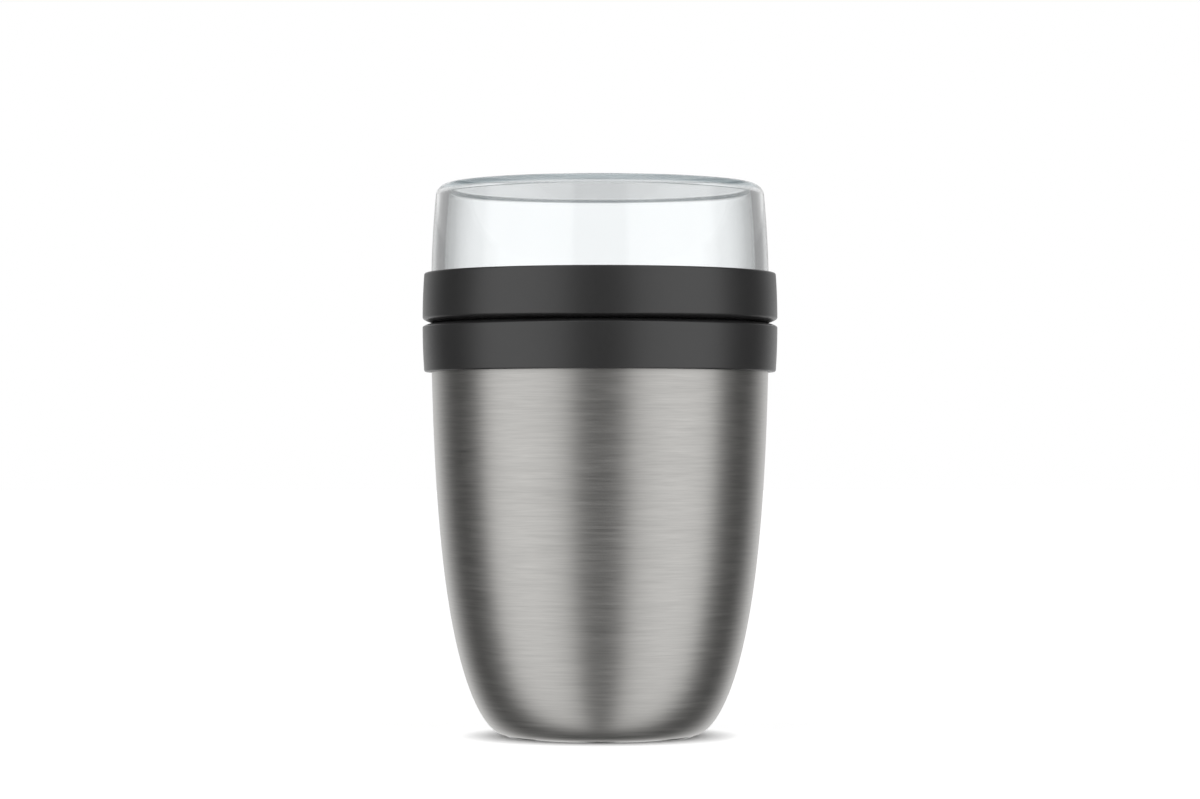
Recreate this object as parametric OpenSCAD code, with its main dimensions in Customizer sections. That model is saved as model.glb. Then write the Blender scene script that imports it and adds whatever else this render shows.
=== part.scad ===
// Insulated food container for lunch: a double-walled steel pot with a screw lid, and a clear
// cup that stands upside down on a screw lid of its own on top of it.
// Millimetres, +Z up. The pot stands on z = 0 and every piece is round about the Z axis.

/* [Steel pot] */
// Height of the steel wall that shows, from the table to the pot lid's lower edge
pot_show_h = 109.55; // [95:0.05:125]
// Radius of the steel wall where it goes under the lid
pot_rim_r = 50.65; // [47:0.05:55]
// Radius at which the wall turns under at the heel
heel_r = 28.55; // [26:0.05:34]
// Height of the heel above the table, which is what the foot stands proud
foot_h = 0.5; // [0.4:0.1:2]
// How full the belly is in its upper part, where the wall turns upright
belly_power = 4.4; // [3.5:0.1:6]
// How full the belly is near the heel, where 2 would be a plain ellipse
heel_power = 1.89; // [1.6:0.01:2.2]
// Height over which the belly's curve would close, as a share of the height that shows
belly_h_share = 2; // [1.8:0.05:2.6]
// Thickness of the outer wall
shell_wall = 0.6; // [0.4:0.05:1]

/* [Neck and mouth] */
// How far the neck stands in from the wall, to let the lid's skirt over it
neck_step = 2.25; // [1.8:0.05:2.6]
// Height of the shoulder above the lid's lower edge
shoulder_lift = 1.6; // [1:0.1:3]
// Height of the slope from the shoulder in to the neck
shoulder_slope_h = 1.4; // [0.5:0.1:2.2]
// Rounding of the shoulder
shoulder_round_r = 1.2; // [0.8:0.1:1.6]
// Height of the neck from the shoulder to the top of the lip
neck_h = 8.3; // [7:0.1:10]
// Thickness of the lip, where liner and outer wall are welded together
lip_t = 0.8; // [0.6:0.05:1.2]

/* [Liner] */
// Thickness of the liner
liner_wall = 0.6; // [0.4:0.05:1]
// Gap between the two walls at the neck
neck_gap = 1.8; // [1.2:0.1:2.4]
// Radius at which the liner's wall turns in to its floor
liner_heel_r = 26.5; // [22:0.5:30]
// Height of the liner's underside above the table
liner_floor_h = 9; // [8:0.1:14]

/* [Base] */
// Width of the ledge under the heel, which carries the vacuum plate
ledge_w = 2.9; // [2:0.1:4]
// Thickness of the vacuum plate
plate_t = 0.6; // [0.5:0.05:1]
// Height of the vacuum plate's hat above the ledge
plate_rise = 2.3; // [2.2:0.1:3.5]
// Radius of the pocket in the vacuum plate that holds the solder bead
pocket_r = 4.2; // [3:0.1:6]
// Depth of that pocket
pocket_depth = 0.8; // [0.5:0.1:1.2]
// Radius of the hole through which the air was drawn
vent_r = 1.2; // [0.8:0.1:1.8]
// Radius of the getter pill
getter_r = 4; // [2.5:0.5:8]
// Height of the getter pill
getter_h = 2.2; // [1:0.1:3]
// Thickness of the foot cap
foot_cap_t = 0.6; // [0.4:0.05:0.8]
// Height of the foot cap's hollow
foot_hollow_h = 2; // [1.5:0.1:2.1]
// Rounding of the foot's edges
foot_round_r = 0.3; // [0.1:0.05:0.4]

/* [Rings] */
// How far the lids' rings stand out from the steel wall
ring_proud = 2.75; // [2.4:0.05:4]
// How much each ring draws in from the groove to its far edge
ring_taper = 0.5; // [0:0.05:1]
// Height of the pot lid's ring
pot_ring_h = 14.65; // [14:0.05:18]
// Height of the cup lid's ring
cup_ring_h = 15.05; // [13:0.05:18]
// Depth of the groove between the two rings
groove_depth = 3.05; // [1.5:0.05:3.4]
// Height from the groove's tip down to the full width of the pot lid's ring
groove_low_h = 1.35; // [0.8:0.05:2.5]
// Height from the groove's tip up to the full width of the cup lid's ring
groove_up_h = 1.7; // [0.8:0.05:2.5]
// Rounding of the rings' far edges
ring_edge_r = 0.6; // [0.2:0.1:1]

/* [Pot lid] */
// Room between the skirt and the steel wall
skirt_gap = 0.35; // [0.25:0.05:0.6]
// Depth of the threads on necks and lids
thread_depth = 1.15; // [0.8:0.05:1.3]
// Room between two threads that mesh
thread_gap = 0.4; // [0.25:0.05:0.6]
// Thickness of the pot lid's deck
deck_t = 2; // [1.5:0.1:2.6]
// Depth of the recess in the deck
recess_depth = 2.2; // [2:0.1:2.6]
// Width of the land from the groove's tip in to that recess
land_w = 6.6; // [5:0.1:12]
// Room between the pot's mouth and the insert under the lid
insert_room = 2.4; // [2:0.1:8]
// Depth of the insert below the deck
insert_depth = 11.2; // [8:0.1:20]
// Thickness of the insert
insert_wall = 1.5; // [1:0.1:2.5]
// Rounding of the insert's lower edge
insert_round_r = 3; // [1.6:0.1:5]
// Width of the rib that keeps the insert and the seal in place
rib_w = 1.1; // [0.8:0.1:1.3]
// Height of that rib below the deck
rib_h = 2.5; // [1.5:0.1:4]

/* [Seals] */
// Height of the pot's seal
pot_seal_h = 2; // [1.6:0.1:2.4]
// Height of the cup's seal
cup_seal_h = 2; // [1.6:0.1:2.4]
// Width of the cup's seal
cup_seal_w = 3.4; // [2.6:0.1:3.8]

/* [Cup lid] */
// Thickness of the cup lid's floor
floor_t = 2.5; // [2:0.1:3]
// Height of the floor's hollow underneath
floor_hollow_h = 0.5; // [0.2:0.1:1]
// Depth of the collar that centres the cup lid in the pot lid's recess
collar_depth = 1.7; // [1:0.1:1.7]
// Width of that collar
collar_w = 2.1; // [1.5:0.1:3]
// Depth of the seat in the floor that keeps the cup's seal in place
seal_seat_depth = 0.6; // [0.3:0.1:1]
// Height over which the ring is bored out to let the cup's wall in
ring_bore_h = 2.2; // [1.8:0.1:3]

/* [Cup] */
// Height of the cup above its ring
cup_show_h = 26.85; // [20:0.05:45]
// How much the cup draws in from its ring to its end
cup_draft = 1.7; // [0.5:0.1:3]
// Thickness of the cup's side wall
cup_wall = 3.8; // [3:0.1:4.4]
// Thickness of the cup's flat end
cup_end_t = 2.2; // [1.5:0.1:3.5]
// Outer rounding of the cup's end
cup_edge_r = 3.6; // [1.2:0.1:4.2]
// Inner rounding of the cup's end
cup_inner_edge_r = 0.8; // [0.4:0.1:3]
// Thickness of the cup's wall at its mouth
mouth_wall = 2.2; // [1.8:0.1:2.6]
// Height of the slope from the cup's neck out to its wall
cup_shoulder_h = 0.6; // [0.3:0.1:0.8]

/* [Hidden] */

// Room between pieces that turn or slide on each other
run_gap = 0.3;
// Room between pieces that are pressed together or snapped in
snap_gap = 0.1;
// Rounding of moulded edges and of the seals
soft_round_r = 0.5;
edge_round_r = 0.3;
// Straight stretch kept for the cup's rounding, as a share of its radius
edge_room_share = 1.2;
// Steps in the belly's curve, in a ring's or the cup's side, and in a rounded corner
curve_steps = 36;
side_steps = 10;
round_steps = 6;

// Steel wall, neck and throat
belly_h = pot_show_h * belly_h_share;
shell_hole_r = heel_r - ledge_w;
ledge_top_z = foot_h + shell_wall;
shoulder_z = pot_show_h + shoulder_lift;
lip_z = shoulder_z + neck_h;
neck_r = pot_rim_r - neck_step;
neck_in_r = neck_r - shell_wall;
shoulder_tilt = atan(shoulder_slope_h / neck_step);
shoulder_drop = shell_wall * (1 / cos(shoulder_tilt) - tan(shoulder_tilt));
liner_r = neck_in_r - neck_gap;
mouth_r = liner_r - liner_wall;
lip_round_r = lip_t * 0.4;

// Base
plate_r = heel_r - snap_gap;
hat_r = shell_hole_r + plate_t;
plate_top_z = ledge_top_z + plate_rise;
plate_under_z = plate_top_z - plate_t;
bead_r = pocket_r - snap_gap;
bead_rim_z = plate_under_z + pocket_depth / 2;
foot_r = heel_r - run_gap;
cap_hub_r = shell_hole_r - snap_gap;
cap_hub_in_r = cap_hub_r - foot_cap_t;

// Rings and pot lid
ring_r = pot_rim_r + ring_proud;
groove_z = pot_show_h + pot_ring_h;
groove_tip_r = ring_r - groove_depth;
recess_r = groove_tip_r - land_w;
ring_top_z = groove_z + cup_ring_h;
skirt_r = pot_rim_r + skirt_gap;
skirt_step_z = shoulder_z + skirt_gap;
pot_root_r = neck_r + thread_depth + thread_gap;
seal_top_z = lip_z + pot_seal_h;
deck_top_z = groove_z - recess_depth;
deck_under_z = deck_top_z - deck_t;
insert_r = mouth_r - insert_room;
rib_in_r = insert_r + snap_gap;
rib_r = rib_in_r + rib_w;
rib_low_z = deck_under_z - rib_h;
seal_in_r = rib_r + run_gap;
seal_out_r = neck_r - run_gap;
insert_low_z = deck_under_z - insert_depth;
foam_r = insert_r - insert_wall - snap_gap;
foam_low_z = insert_low_z + insert_wall;

// Cup lid and cup
collar_r = recess_r - run_gap;
floor_under_z = groove_z + floor_hollow_h;
floor_top_z = floor_under_z + floor_t;
seal_seat_z = floor_top_z - seal_seat_depth;
cup_mouth_z = seal_seat_z + cup_seal_h;
cup_foot_r = pot_rim_r + snap_gap;
cup_in_r = cup_foot_r - cup_wall;
cup_neck_r = cup_in_r + mouth_wall;
cup_root_r = cup_neck_r + thread_depth + thread_gap;
ring_bore_r = cup_foot_r + run_gap;
cup_seal_in_r = cup_in_r - soft_round_r;
cup_seal_out_r = cup_seal_in_r + cup_seal_w;
cup_top_z = ring_top_z + cup_show_h;
cup_ceiling_z = cup_top_z - cup_end_t;
cup_shoulder_z = ring_top_z - ring_bore_h / 2;

// A smooth bend from a to c, drawn towards the corner b
function bend(a, b, c) =
    [for (i = [0:side_steps])
        let (t = i / side_steps) a * (1 - t) * (1 - t) + b * 2 * t * (1 - t) + c * t * t];

// The arc that rounds corner b, between its neighbours a and c, to radius f
function corner_arc(a, b, c, f) =
    let (u = (a - b) / norm(a - b),
         v = (c - b) / norm(c - b),
         half = acos(u * v) / 2,
         p = b + u * f / tan(half),
         q = b + v * f / tan(half),
         m = b + (u + v) / norm(u + v) * f / sin(half),
         start = atan2(p.y - m.y, p.x - m.x),
         turn = atan2(q.y - m.y, q.x - m.x) - start,
         sweep = turn > 180 ? turn - 360 : turn < -180 ? turn + 360 : turn)
    [for (i = [0:round_steps]) let (w = start + sweep * i / round_steps) m + f * [cos(w), sin(w)]];

// An outline of [radius, height] and [radius, height, rounding] points, with the latter rounded
function rounded(pts) =
    let (n = len(pts), flat = [for (p = pts) [p.x, p.y]])
    [for (i = [0:n - 1])
        each len(pts[i]) == 3
            ? corner_arc(flat[(i + n - 1) % n], flat[i], flat[(i + 1) % n], pts[i].z)
            : [flat[i]]];

function reversed(pts) = [for (i = [len(pts) - 1:-1:0]) pts[i]];

// A point on the belly's curve: u runs from 0 at the heel towards 1 at the top
function belly_point(u, low_r, top_r, low_z) =
    [low_r + (top_r - low_r) * u,
     low_z + belly_h * (1 - pow(1 - pow(u, heel_power), 1 / belly_power))];

// The outward normal there
function belly_normal(u, low_r, top_r) =
    let (dr = top_r - low_r,
         dz = belly_h * heel_power / belly_power
              * pow(1 - pow(u, heel_power), 1 / belly_power - 1) * pow(u, heel_power - 1))
    [dz, -dr] / norm([dz, -dr]);

// How far along the curve a height above its low end lies
function belly_share_at(h) = pow(1 - pow(1 - h / belly_h, belly_power), 1 / heel_power);

// The belly's curve from its heel to high_r at high_z, moved inwards by inset
function belly(low_r, high_r, low_z, high_z, inset = 0) =
    let (u_top = belly_share_at(high_z - low_z), top_r = low_r + (high_r - low_r) / u_top)
    [for (i = [0:curve_steps])
        let (u = u_top * sin(90 * i / curve_steps))
        belly_point(u, low_r, top_r, low_z) - inset * belly_normal(u, low_r, top_r)];

// The side of a ring, from its full width at from_z to its rounded far edge at to_z
function ring_side(from_z, to_z) =
    [for (i = [1:side_steps])
        let (t = i / side_steps, r = ring_r - ring_taper * t * t, z = from_z + (to_z - from_z) * t)
        i < side_steps ? [r, z] : [r, z, ring_edge_r]];

// Half of the groove, from its tip to the height from_z at which a ring has its full width
function groove_half(from_z) =
    bend([groove_tip_r, groove_z], [ring_r, (groove_z + from_z) / 2], [ring_r, from_z]);

// The cup's wall from its ring to to_z, which draws in more and more towards its flat end; its
// steps end below the rounding
function cup_side(to_z, inset, edge_r) =
    [for (i = [0:side_steps + 1])
        let (z = i > side_steps ? to_z
                 : ring_top_z + (to_z - edge_room_share * edge_r - ring_top_z) * i / side_steps,
             t = (z - ring_top_z) / cup_show_h,
             r = cup_foot_r - inset - cup_draft * t * (1 + 2 * t) / 3)
        i > side_steps ? [r, z, edge_r] : [r, z]];

// A solid turned about the Z axis from an outline with rounded corners
module turned(pts) {
    rotate_extrude($fn = 96) polygon(rounded(pts));
}

module steel() {
    color([0.66, 0.65, 0.63]) children();
}

module dark_plastic() {
    color([0.2, 0.2, 0.2]) children();
}

module silicone() {
    color([0.88, 0.88, 0.86]) children();
}

// Outer wall: ledge, heel, belly, shoulder and neck, all of one thickness
module outer_shell() {
    steel() turned(concat(
        [[shell_hole_r, foot_h]],
        belly(heel_r, pot_rim_r, foot_h, pot_show_h),
        [[pot_rim_r, shoulder_z, shoulder_round_r],
         [neck_r, shoulder_z + shoulder_slope_h, shoulder_round_r - shell_wall],
         [neck_r, lip_z - lip_t],
         [neck_in_r, lip_z - lip_t],
         [neck_in_r, shoulder_z + shoulder_slope_h - shoulder_drop, shoulder_round_r],
         [pot_rim_r - shell_wall, shoulder_z - shoulder_drop, shoulder_round_r - shell_wall]],
        reversed(belly(heel_r, pot_rim_r, foot_h, pot_show_h, shell_wall)),
        [[shell_hole_r, ledge_top_z]]));
}

// Liner: flat floor, its own belly, a straight throat, and the lip that turns out over the neck
module inner_liner() {
    steel() turned(concat(
        [[0, liner_floor_h]],
        belly(liner_heel_r, liner_r, liner_floor_h, pot_show_h),
        [[liner_r, lip_z - lip_t],
         [neck_r, lip_z - lip_t],
         [neck_r, lip_z, lip_round_r],
         [mouth_r, lip_z, lip_round_r]],
        reversed(belly(liner_heel_r, liner_r, liner_floor_h, pot_show_h, liner_wall)),
        [[0, liner_floor_h + liner_wall]]));
}

// Vacuum plate: a hat on the ledge, with a pocket and a hole in its middle
module vacuum_base() {
    steel() turned([
        [vent_r, plate_top_z + pocket_depth],
        [vent_r, plate_under_z + pocket_depth],
        [pocket_r, plate_under_z + pocket_depth],
        [pocket_r, plate_under_z],
        [shell_hole_r, plate_under_z],
        [shell_hole_r, ledge_top_z],
        [plate_r, ledge_top_z],
        [plate_r, ledge_top_z + plate_t],
        [hat_r, ledge_top_z + plate_t],
        [hat_r, plate_top_z, edge_round_r],
        [pocket_r + plate_t, plate_top_z],
        [pocket_r + plate_t, plate_top_z + pocket_depth, edge_round_r]]);
}

// Bead of solder glass that fills the pocket from below
module solder_bead() {
    color([0.25, 0.3, 0.28]) turned(concat(
        [[0, plate_under_z + pocket_depth], [bead_r, plate_under_z + pocket_depth]],
        bend([bead_r, bead_rim_z], [bead_r / 2, plate_under_z], [0, plate_under_z])));
}

// Getter pill on the liner's underside
module getter() {
    steel() turned([
        [0, liner_floor_h - getter_h],
        [getter_r, liner_floor_h - getter_h, soft_round_r],
        [getter_r, liner_floor_h],
        [0, liner_floor_h]]);
}

// Foot cap: the rim that the pot stands on, and the hollow inside it
module foot_cap() {
    steel() turned([
        [0, foot_hollow_h],
        [cap_hub_in_r, foot_hollow_h, foot_round_r],
        [cap_hub_in_r, 0, foot_round_r],
        [foot_r, 0, foot_round_r],
        [foot_r, foot_h],
        [cap_hub_r, foot_h],
        [cap_hub_r, foot_hollow_h + foot_cap_t, foot_round_r],
        [0, foot_hollow_h + foot_cap_t]]);
}

// Flat silicone ring on the pot's lip
module pot_seal() {
    silicone() turned([
        [seal_in_r, lip_z, soft_round_r],
        [seal_out_r, lip_z, soft_round_r],
        [seal_out_r, seal_top_z, soft_round_r],
        [seal_in_r, seal_top_z, soft_round_r]]);
}

// Pot lid: ring, skirt, deck with a recess, and the rib that carries insert and seal
module pot_lid() {
    dark_plastic() turned(concat(
        [[0, deck_under_z],
         [rib_in_r, deck_under_z],
         [rib_in_r, rib_low_z],
         [rib_r, rib_low_z, edge_round_r],
         [rib_r, seal_top_z],
         [pot_root_r, seal_top_z, edge_round_r],
         [pot_root_r, skirt_step_z + skirt_r - pot_root_r],
         [skirt_r, skirt_step_z],
         [skirt_r, pot_show_h, edge_round_r]],
        reversed(ring_side(groove_z - groove_low_h, pot_show_h)),
        reversed(groove_half(groove_z - groove_low_h)),
        [[recess_r, groove_z, soft_round_r],
         [recess_r, deck_top_z, soft_round_r],
         [0, deck_top_z]]));
}

// Insulating disc that fills the insert
module lid_foam() {
    color([0.93, 0.91, 0.85]) turned([
        [0, foam_low_z],
        [foam_r, foam_low_z, insert_round_r - insert_wall],
        [foam_r, deck_under_z],
        [0, deck_under_z]]);
}

// Inner cap under the pot lid, which faces the food
module lid_insert() {
    dark_plastic() turned([
        [0, insert_low_z],
        [insert_r, insert_low_z, insert_round_r],
        [insert_r, deck_under_z],
        [insert_r - insert_wall, deck_under_z],
        [insert_r - insert_wall, foam_low_z, insert_round_r - insert_wall],
        [0, foam_low_z]]);
}

// Cup lid: ring, floor with the seal's seat, and the collar that sits in the pot lid's recess
module cup_lid() {
    dark_plastic() turned(concat(
        [[0, floor_under_z],
         [collar_r - collar_w, floor_under_z, edge_round_r],
         [collar_r - collar_w, groove_z - collar_depth, edge_round_r],
         [collar_r, groove_z - collar_depth, soft_round_r],
         [collar_r, groove_z]],
        groove_half(groove_z + groove_up_h),
        ring_side(groove_z + groove_up_h, ring_top_z),
        [[ring_bore_r, ring_top_z, edge_round_r],
         [ring_bore_r, ring_top_z - ring_bore_h],
         [cup_root_r, ring_top_z - ring_bore_h - ring_bore_r + cup_root_r],
         [cup_root_r, seal_seat_z, edge_round_r],
         [cup_seal_in_r - run_gap, seal_seat_z],
         [cup_seal_in_r - run_gap, floor_top_z, edge_round_r],
         [0, floor_top_z]]));
}

// Flat silicone ring under the cup's mouth
module cup_seal() {
    silicone() turned([
        [cup_seal_in_r, seal_seat_z, soft_round_r],
        [cup_seal_out_r, seal_seat_z, soft_round_r],
        [cup_seal_out_r, cup_mouth_z, soft_round_r],
        [cup_seal_in_r, cup_mouth_z, soft_round_r]]);
}

// Clear cup, its mouth down: neck, shoulder, wall with its draft, and flat end
module cup() {
    color([0.85, 0.92, 0.94, 0.4]) turned(concat(
        [[cup_in_r, cup_mouth_z, soft_round_r],
         [cup_neck_r, cup_mouth_z, soft_round_r],
         [cup_neck_r, cup_shoulder_z, edge_round_r],
         [cup_foot_r, cup_shoulder_z + cup_shoulder_h, edge_round_r]],
        cup_side(cup_top_z, 0, cup_edge_r),
        [[0, cup_top_z], [0, cup_ceiling_z]],
        reversed(cup_side(cup_ceiling_z, cup_wall, cup_inner_edge_r))));
}

outer_shell();
inner_liner();
vacuum_base();
solder_bead();
getter();
foot_cap();
pot_seal();
pot_lid();
lid_foam();
lid_insert();
cup_lid();
cup_seal();
cup();
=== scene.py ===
import math
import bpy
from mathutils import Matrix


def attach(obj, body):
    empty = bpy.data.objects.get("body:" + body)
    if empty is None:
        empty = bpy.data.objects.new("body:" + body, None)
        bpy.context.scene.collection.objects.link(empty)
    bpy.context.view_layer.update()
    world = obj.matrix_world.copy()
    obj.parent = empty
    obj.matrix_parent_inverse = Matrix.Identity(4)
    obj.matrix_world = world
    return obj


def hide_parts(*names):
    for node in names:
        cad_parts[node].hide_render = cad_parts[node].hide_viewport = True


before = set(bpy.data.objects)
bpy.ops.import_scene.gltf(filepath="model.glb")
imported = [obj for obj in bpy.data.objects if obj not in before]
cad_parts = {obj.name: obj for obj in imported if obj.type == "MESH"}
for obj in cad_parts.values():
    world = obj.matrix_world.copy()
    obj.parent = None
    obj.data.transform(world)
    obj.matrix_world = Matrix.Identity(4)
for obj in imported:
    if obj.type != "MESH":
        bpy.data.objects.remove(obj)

from types import SimpleNamespace

import bpy
from bpy.props import FloatProperty, FloatVectorProperty, IntProperty, PointerProperty

bl_info = {
    "name": "Insulated food container",
    "version": (1, 0, 0),
    "blender": (4, 5, 0),
    "location": "View3D > Sidebar > Food container",
    "description": "Makes the visible pieces of a double-walled lunch pot with a clear cup on top",
    "category": "Add Mesh",
}

MM = 0.001
TURN = 2 * math.pi
# Points closer than this become one, where an outline meets the axis or closes
SEWN = 0.002 * MM
# An edge is sharp from this angle on
SHARP = math.radians(32)


# Properties

def length(millimetres, name, note):
    """A length that a user may change, kept in metres."""
    return FloatProperty(name=name, description=note, default=millimetres * MM,
                         subtype="DISTANCE", unit="LENGTH", precision=5)


def share(value, name, note, low=0.0, high=1.0):
    """A number without a unit."""
    return FloatProperty(name=name, description=note, default=value, min=low, max=high)


def tint(colour, name, note):
    """A colour that a user may change."""
    return FloatVectorProperty(name=name, description=note, default=colour, size=3,
                               subtype="COLOR", min=0.0, max=1.0)


class PotSizes(bpy.types.PropertyGroup):
    """Sizes of the steel pot"""
    show_height: length(109.55, "Height that shows", "Height of the steel wall below the pot lid")
    rim_radius: length(50.65, "Rim radius", "Radius of the steel wall where it goes under the lid")
    heel_radius: length(28.55, "Heel radius", "Radius at which the wall turns under")
    foot_height: length(0.5, "Foot height", "Height of the heel above the table")
    wall: length(0.6, "Wall", "Thickness of the outer wall and of the liner")
    upper_fullness: share(4.4, "Upper fullness", "How full the belly is near the rim", 3.5, 6)
    heel_fullness: share(1.89, "Heel fullness", "How full the belly is near the heel", 1.6, 2.2)
    closing_share: share(2.0, "Closing height",
                         "Height at which the curve would close, by the shown height", 1.8, 2.6)
    neck_step: length(2.25, "Neck step", "How far the neck stands in from the wall")
    shoulder_lift: length(1.6, "Shoulder lift", "Height of the shoulder above the lid's edge")
    neck_height: length(8.3, "Neck height", "Height from the shoulder to the lip")
    lip: length(0.8, "Lip", "Thickness of the lip")
    wall_gap: length(1.8, "Gap", "Gap between the two walls at the neck")
    liner_heel_radius: length(26.5, "Liner heel", "Radius at which the liner turns in")
    liner_height: length(9.0, "Liner height", "Height of the liner's underside")


class LidSizes(bpy.types.PropertyGroup):
    """Sizes of the two lids and their seals"""
    ring_proud: length(2.75, "Ring", "How far the rings stand out from the steel wall")
    ring_taper: length(0.5, "Taper", "How much each ring draws in to its far edge")
    pot_ring_height: length(14.65, "Pot ring", "Height of the pot lid's ring")
    cup_ring_height: length(15.05, "Cup ring", "Height of the cup lid's ring")
    groove_depth: length(3.05, "Groove depth", "Depth of the groove between the rings")
    groove_low: length(1.35, "Groove below", "Height from the groove's tip down to a full ring")
    groove_up: length(1.7, "Groove above", "Height from the groove's tip up to a full ring")
    ring_edge: length(0.6, "Edge", "Rounding of the rings' far edges")
    deck: length(2.0, "Deck", "Thickness of the pot lid's deck")
    recess_depth: length(2.2, "Recess", "Depth of the recess in the deck")
    land: length(6.6, "Land", "Width from the groove's tip in to the recess")
    insert_room: length(2.4, "Insert room", "Room between the mouth and the insert")
    insert_depth: length(11.2, "Insert depth", "Depth of the insert below the deck")
    insert_wall: length(1.5, "Insert wall", "Thickness of the insert")
    seal_height: length(2.0, "Seal height", "Height of both seals")
    cup_seal_width: length(3.4, "Cup seal", "Width of the cup's seal")
    floor: length(2.5, "Floor", "Thickness of the cup lid's floor")


class CupSizes(bpy.types.PropertyGroup):
    """Sizes of the clear cup"""
    show_height: length(26.85, "Height that shows", "Height of the cup above its ring")
    draft: length(1.7, "Draft", "How much the cup draws in to its end")
    wall: length(3.8, "Wall", "Thickness of the cup's side")
    end: length(2.2, "End", "Thickness of the cup's flat end")
    edge: length(3.6, "Edge", "Outer rounding of the end")
    inner_edge: length(0.8, "Inner edge", "Inner rounding of the end")
    mouth_wall: length(2.2, "Mouth wall", "Thickness of the wall at the mouth")


class ThreadSizes(bpy.types.PropertyGroup):
    """Sizes of the screw threads"""
    pitch: length(4.0, "Pitch", "Rise over one turn")
    depth: length(1.15, "Depth", "Height of a thread above its wall")
    gap: length(0.4, "Gap", "Room between two threads that mesh")
    root: length(1.5, "Root width", "Width of a thread at its wall")
    crest: length(0.5, "Crest width", "Width of a thread at its crest")
    steps: IntProperty(name="Steps", description="Steps along a thread", default=300, min=60)


class Finishes(bpy.types.PropertyGroup):
    """Colours of the finishes"""
    steel: tint((0.62, 0.61, 0.59), "Steel", "Brushed outer wall")
    liner: tint((0.66, 0.66, 0.65), "Liner", "Liner, foot and vacuum plate")
    plastic: tint((0.032, 0.032, 0.0325), "Plastic", "Lids and insert")
    silicone: tint((0.72, 0.72, 0.70), "Silicone", "Seals")
    clear: tint((0.975, 0.99, 0.995), "Clear plastic", "Cup")
    foam: tint((0.85, 0.83, 0.76), "Foam", "Disc inside the insert")
    solder: tint((0.12, 0.15, 0.13), "Solder glass", "Bead that closes the vacuum")
    getter: tint((0.50, 0.50, 0.50), "Getter", "Sintered pill in the vacuum")


class StageSizes(bpy.types.PropertyGroup):
    """Camera, floor and light"""
    distance: length(1086.0, "Distance", "Camera to the pot's axis")
    eye: length(87.25, "Eye height", "Height of the camera above the floor")
    lens: FloatProperty(name="Lens", description="Focal length", default=108.1, unit="CAMERA")
    rise: share(0.0388, "Frame rise", "How far the frame is moved up", -0.2, 0.2)
    floor_radius: length(6000.0, "Floor radius", "Radius of the floor")
    floor: tint((0.86, 0.86, 0.86), "Floor", "Colour of the floor")


class ContainerSettings(bpy.types.PropertyGroup):
    """All sizes and colours of the container"""
    pot: PointerProperty(type=PotSizes)
    lid: PointerProperty(type=LidSizes)
    cup: PointerProperty(type=CupSizes)
    thread: PointerProperty(type=ThreadSizes)
    finish: PointerProperty(type=Finishes)
    stage: PointerProperty(type=StageSizes)
    segments: IntProperty(name="Segments", description="Segments round the axis",
                          default=288, min=64, max=512)


# Node trees

class Wiring:
    """Adds nodes to a tree and joins them; a value may be a number or another node's socket."""

    def __init__(self, tree):
        self.tree = tree

    def add(self, kind, feeds=None, **settings):
        node = self.tree.nodes.new(kind)
        for key, value in settings.items():
            setattr(node, key, value)
        return self.feed_all(node, feeds or {})

    def feed_all(self, node, feeds):
        for key, value in feeds.items():
            self.feed(node.inputs[key], value)
        return node

    def feed(self, socket, value):
        if isinstance(value, bpy.types.NodeSocket):
            self.tree.links.new(value, socket)
        else:
            socket.default_value = value

    def math(self, operation, *values):
        return self.add("ShaderNodeMath", dict(enumerate(values)), operation=operation).outputs[0]

    def join(self, x=0.0, y=0.0, z=0.0):
        return self.add("ShaderNodeCombineXYZ", {"X": x, "Y": y, "Z": z}).outputs[0]

    def split(self, vector):
        return self.add("ShaderNodeSeparateXYZ", {"Vector": vector}).outputs


def shape_tree(name, sizes):
    """A geometry tree with an outline as its input and these named sizes."""
    tree = bpy.data.node_groups.new(name, "GeometryNodeTree")
    face = tree.interface
    face.new_socket("Outline", in_out="INPUT", socket_type="NodeSocketGeometry")
    for label, kind in sizes.items():
        face.new_socket(label, in_out="INPUT", socket_type=kind)
    face.new_socket("Finish", in_out="INPUT", socket_type="NodeSocketMaterial")
    face.new_socket("Piece", in_out="OUTPUT", socket_type="NodeSocketGeometry")
    return tree


def grid_counts(wire, given, steps):
    """The grid's column and row of each point, by its place on a grid one metre wide."""
    x, y, _ = wire.split(wire.add("GeometryNodeInputPosition").outputs[0])
    rows = wire.math("SUBTRACT", given["Rows"], 1.0)
    part = wire.math("ADD", x, 0.5)
    column = wire.math("ROUND", wire.math("MULTIPLY", part, steps))
    row = wire.math("ROUND", wire.math("MULTIPLY", wire.math("ADD", y, 0.5), rows))
    return part, column, row


def sampled(wire, outline, row):
    """Radius and height of the outline's point in this row, and its way along the outline."""
    here = wire.add("GeometryNodeInputPosition").outputs[0]
    point = wire.add("GeometryNodeSampleIndex", {"Geometry": outline, "Value": here, "Index": row},
                     data_type="FLOAT_VECTOR", domain="POINT")
    named = wire.add("GeometryNodeInputNamedAttribute", {"Name": "along"}, data_type="FLOAT")
    along = wire.add("GeometryNodeSampleIndex",
                     {"Geometry": outline, "Value": named.outputs["Attribute"], "Index": row},
                     data_type="FLOAT", domain="POINT").outputs["Value"]
    radius, _, height = wire.split(point.outputs["Value"])
    return radius, height, along


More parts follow.
